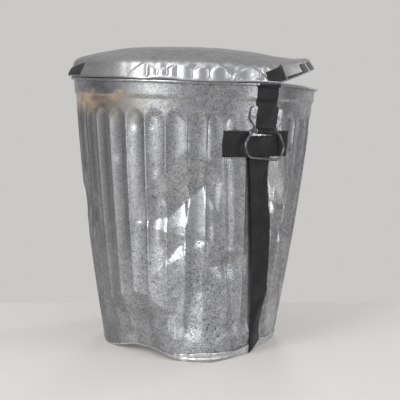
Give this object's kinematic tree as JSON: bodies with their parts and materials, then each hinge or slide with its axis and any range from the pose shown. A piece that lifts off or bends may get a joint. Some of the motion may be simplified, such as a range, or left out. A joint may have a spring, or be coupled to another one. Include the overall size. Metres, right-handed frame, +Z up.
{
  "type": "trash can with lid",
  "caption": "Battered, fluted, galvanized steel trash can with a loose domed lid, wire drop bails in riveted ears and strips of black cloth tape.",
  "frame": {"origin": "on the floor, under the middle of the mouth", "axes": "+Z up, -Y towards the front that the picture shows, +X to its right"},
  "size_m": [0.5148, 0.5151, 0.6025],
  "materials": {
    "wall": "spangled galvanized sheet, weathered",
    "lid": "dull weathered galvanized sheet",
    "bottom": "spangled galvanized sheet",
    "fittings": "galvanized stampings and rivets",
    "bail": "dull galvanized wire",
    "tape": "black cloth tape with a dull plastic coat"
  },
  "bodies": {
    "can": {"can_wall": "wall", "rim_wire": "fittings", "can_bottom": "bottom", "ear_front": "fittings", "ear_back": "fittings", "rivet_front_left": "fittings", "rivet_front_right": "fittings", "rivet_back_left": "fittings", "rivet_back_right": "fittings", "tape_upper": "tape", "tape_cross": "tape", "tape_lower": "tape"},
    "lid": {"lid_sheet": "lid", "tape_lid_right": "tape", "tape_lid_left": "tape", "tape_lid_edge": "tape", "tape_lid_end_front": "tape", "tape_lid_end_side": "tape"},
    "front_bail": {"bail_front": "bail"},
    "back_bail": {"bail_back": "bail"}
  },
  "joints": [
    {"name": "lid_lift", "type": "slide", "parent": "can", "child": "lid", "axis": [0, 0, 1], "range_m": [0, 0.3]},
    {"name": "bail_front_swing", "type": "hinge", "parent": "can", "child": "front_bail", "pos_m": [0.13767, -0.20164, 0.43454], "axis": [-0.8082, -0.5793, 0.1061], "range_deg": [-4, 170]},
    {"name": "bail_back_swing", "type": "hinge", "parent": "can", "child": "back_bail", "pos_m": [-0.14197, 0.20164, 0.44096], "axis": [0.8159, 0.5781, -0.0006], "range_deg": [-4, 170]}
  ]
}
